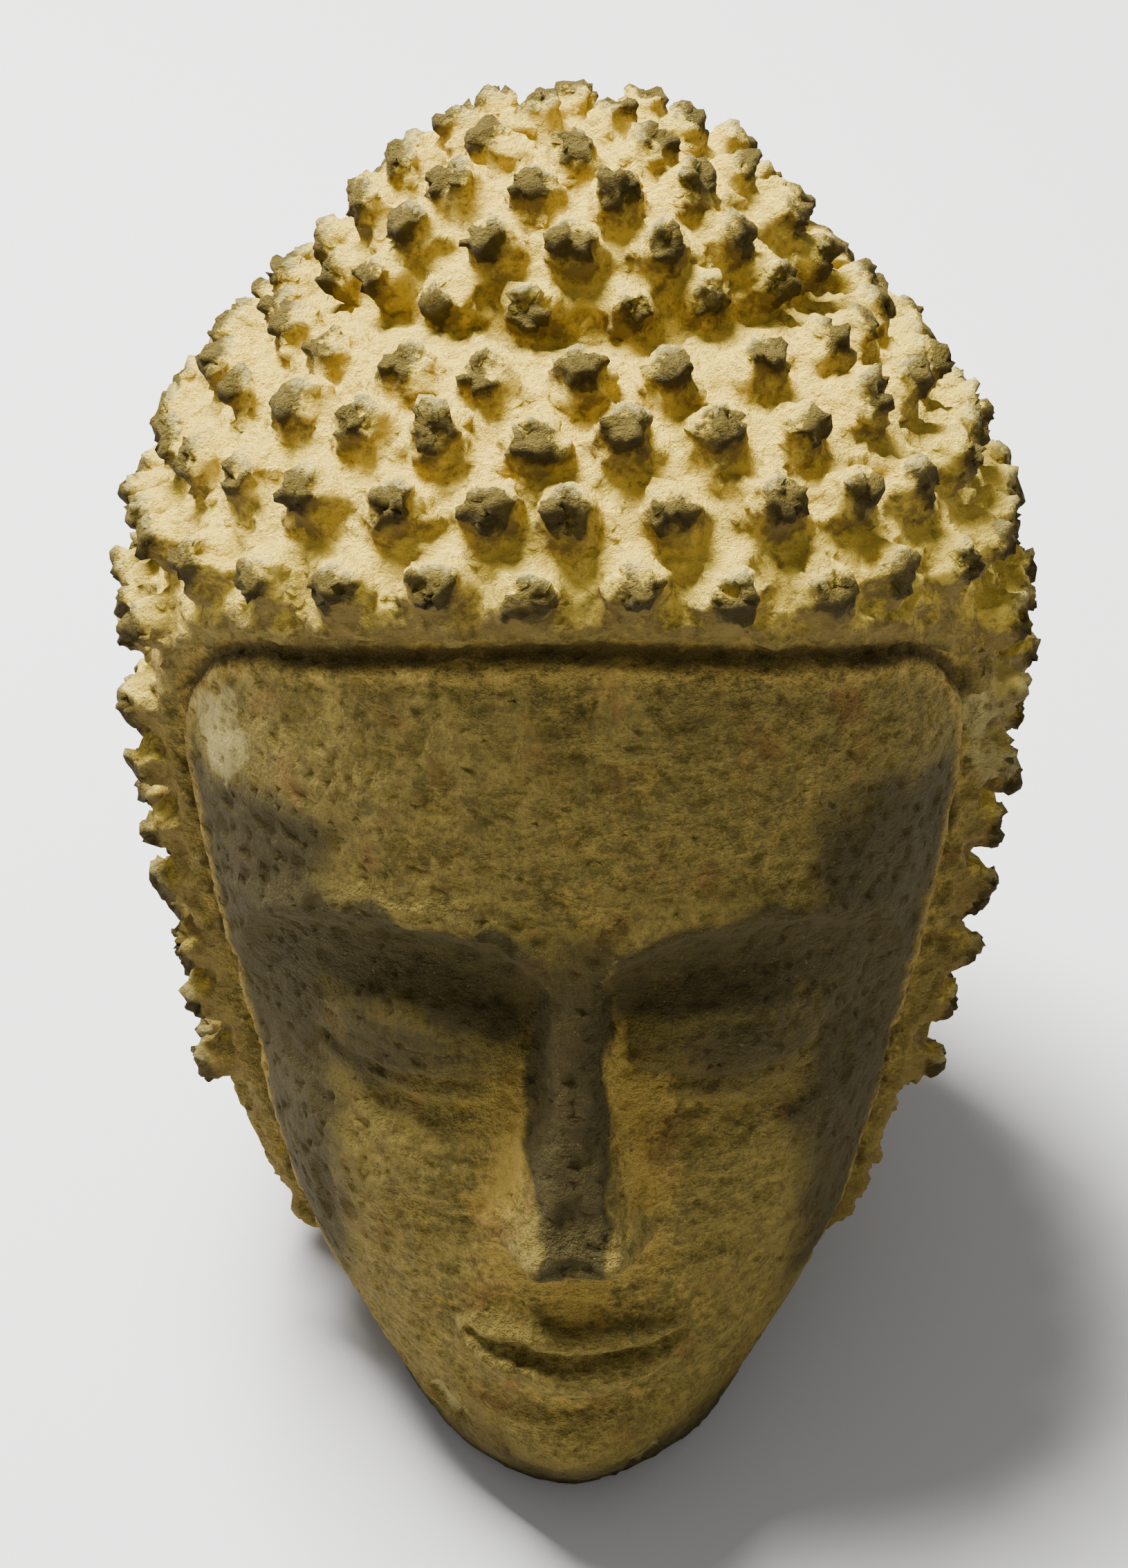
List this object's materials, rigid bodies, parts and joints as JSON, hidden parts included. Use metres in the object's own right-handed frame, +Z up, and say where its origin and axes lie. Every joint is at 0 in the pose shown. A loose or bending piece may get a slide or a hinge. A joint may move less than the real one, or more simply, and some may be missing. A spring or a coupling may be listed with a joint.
{
  "type": "stone buddha head",
  "caption": "Small carved sandstone Buddha head with pointed curls, a low domed top-knot and lowered eyelids, standing on its flat-cut neck.",
  "frame": {"origin": "middle of the flat cut across the neck, on the surface the head stands on", "axes": "+Z up, the face looks along -Y, +X is on the viewer's right when facing the head"},
  "size_m": [0.0823, 0.1001, 0.1094],
  "materials": {
    "sandstone": "rough matte, yellow-brown sandstone with dark patina and pale scraped hair"
  },
  "bodies": {
    "root": {"buddha_head": "sandstone"}
  },
  "joints": []
}
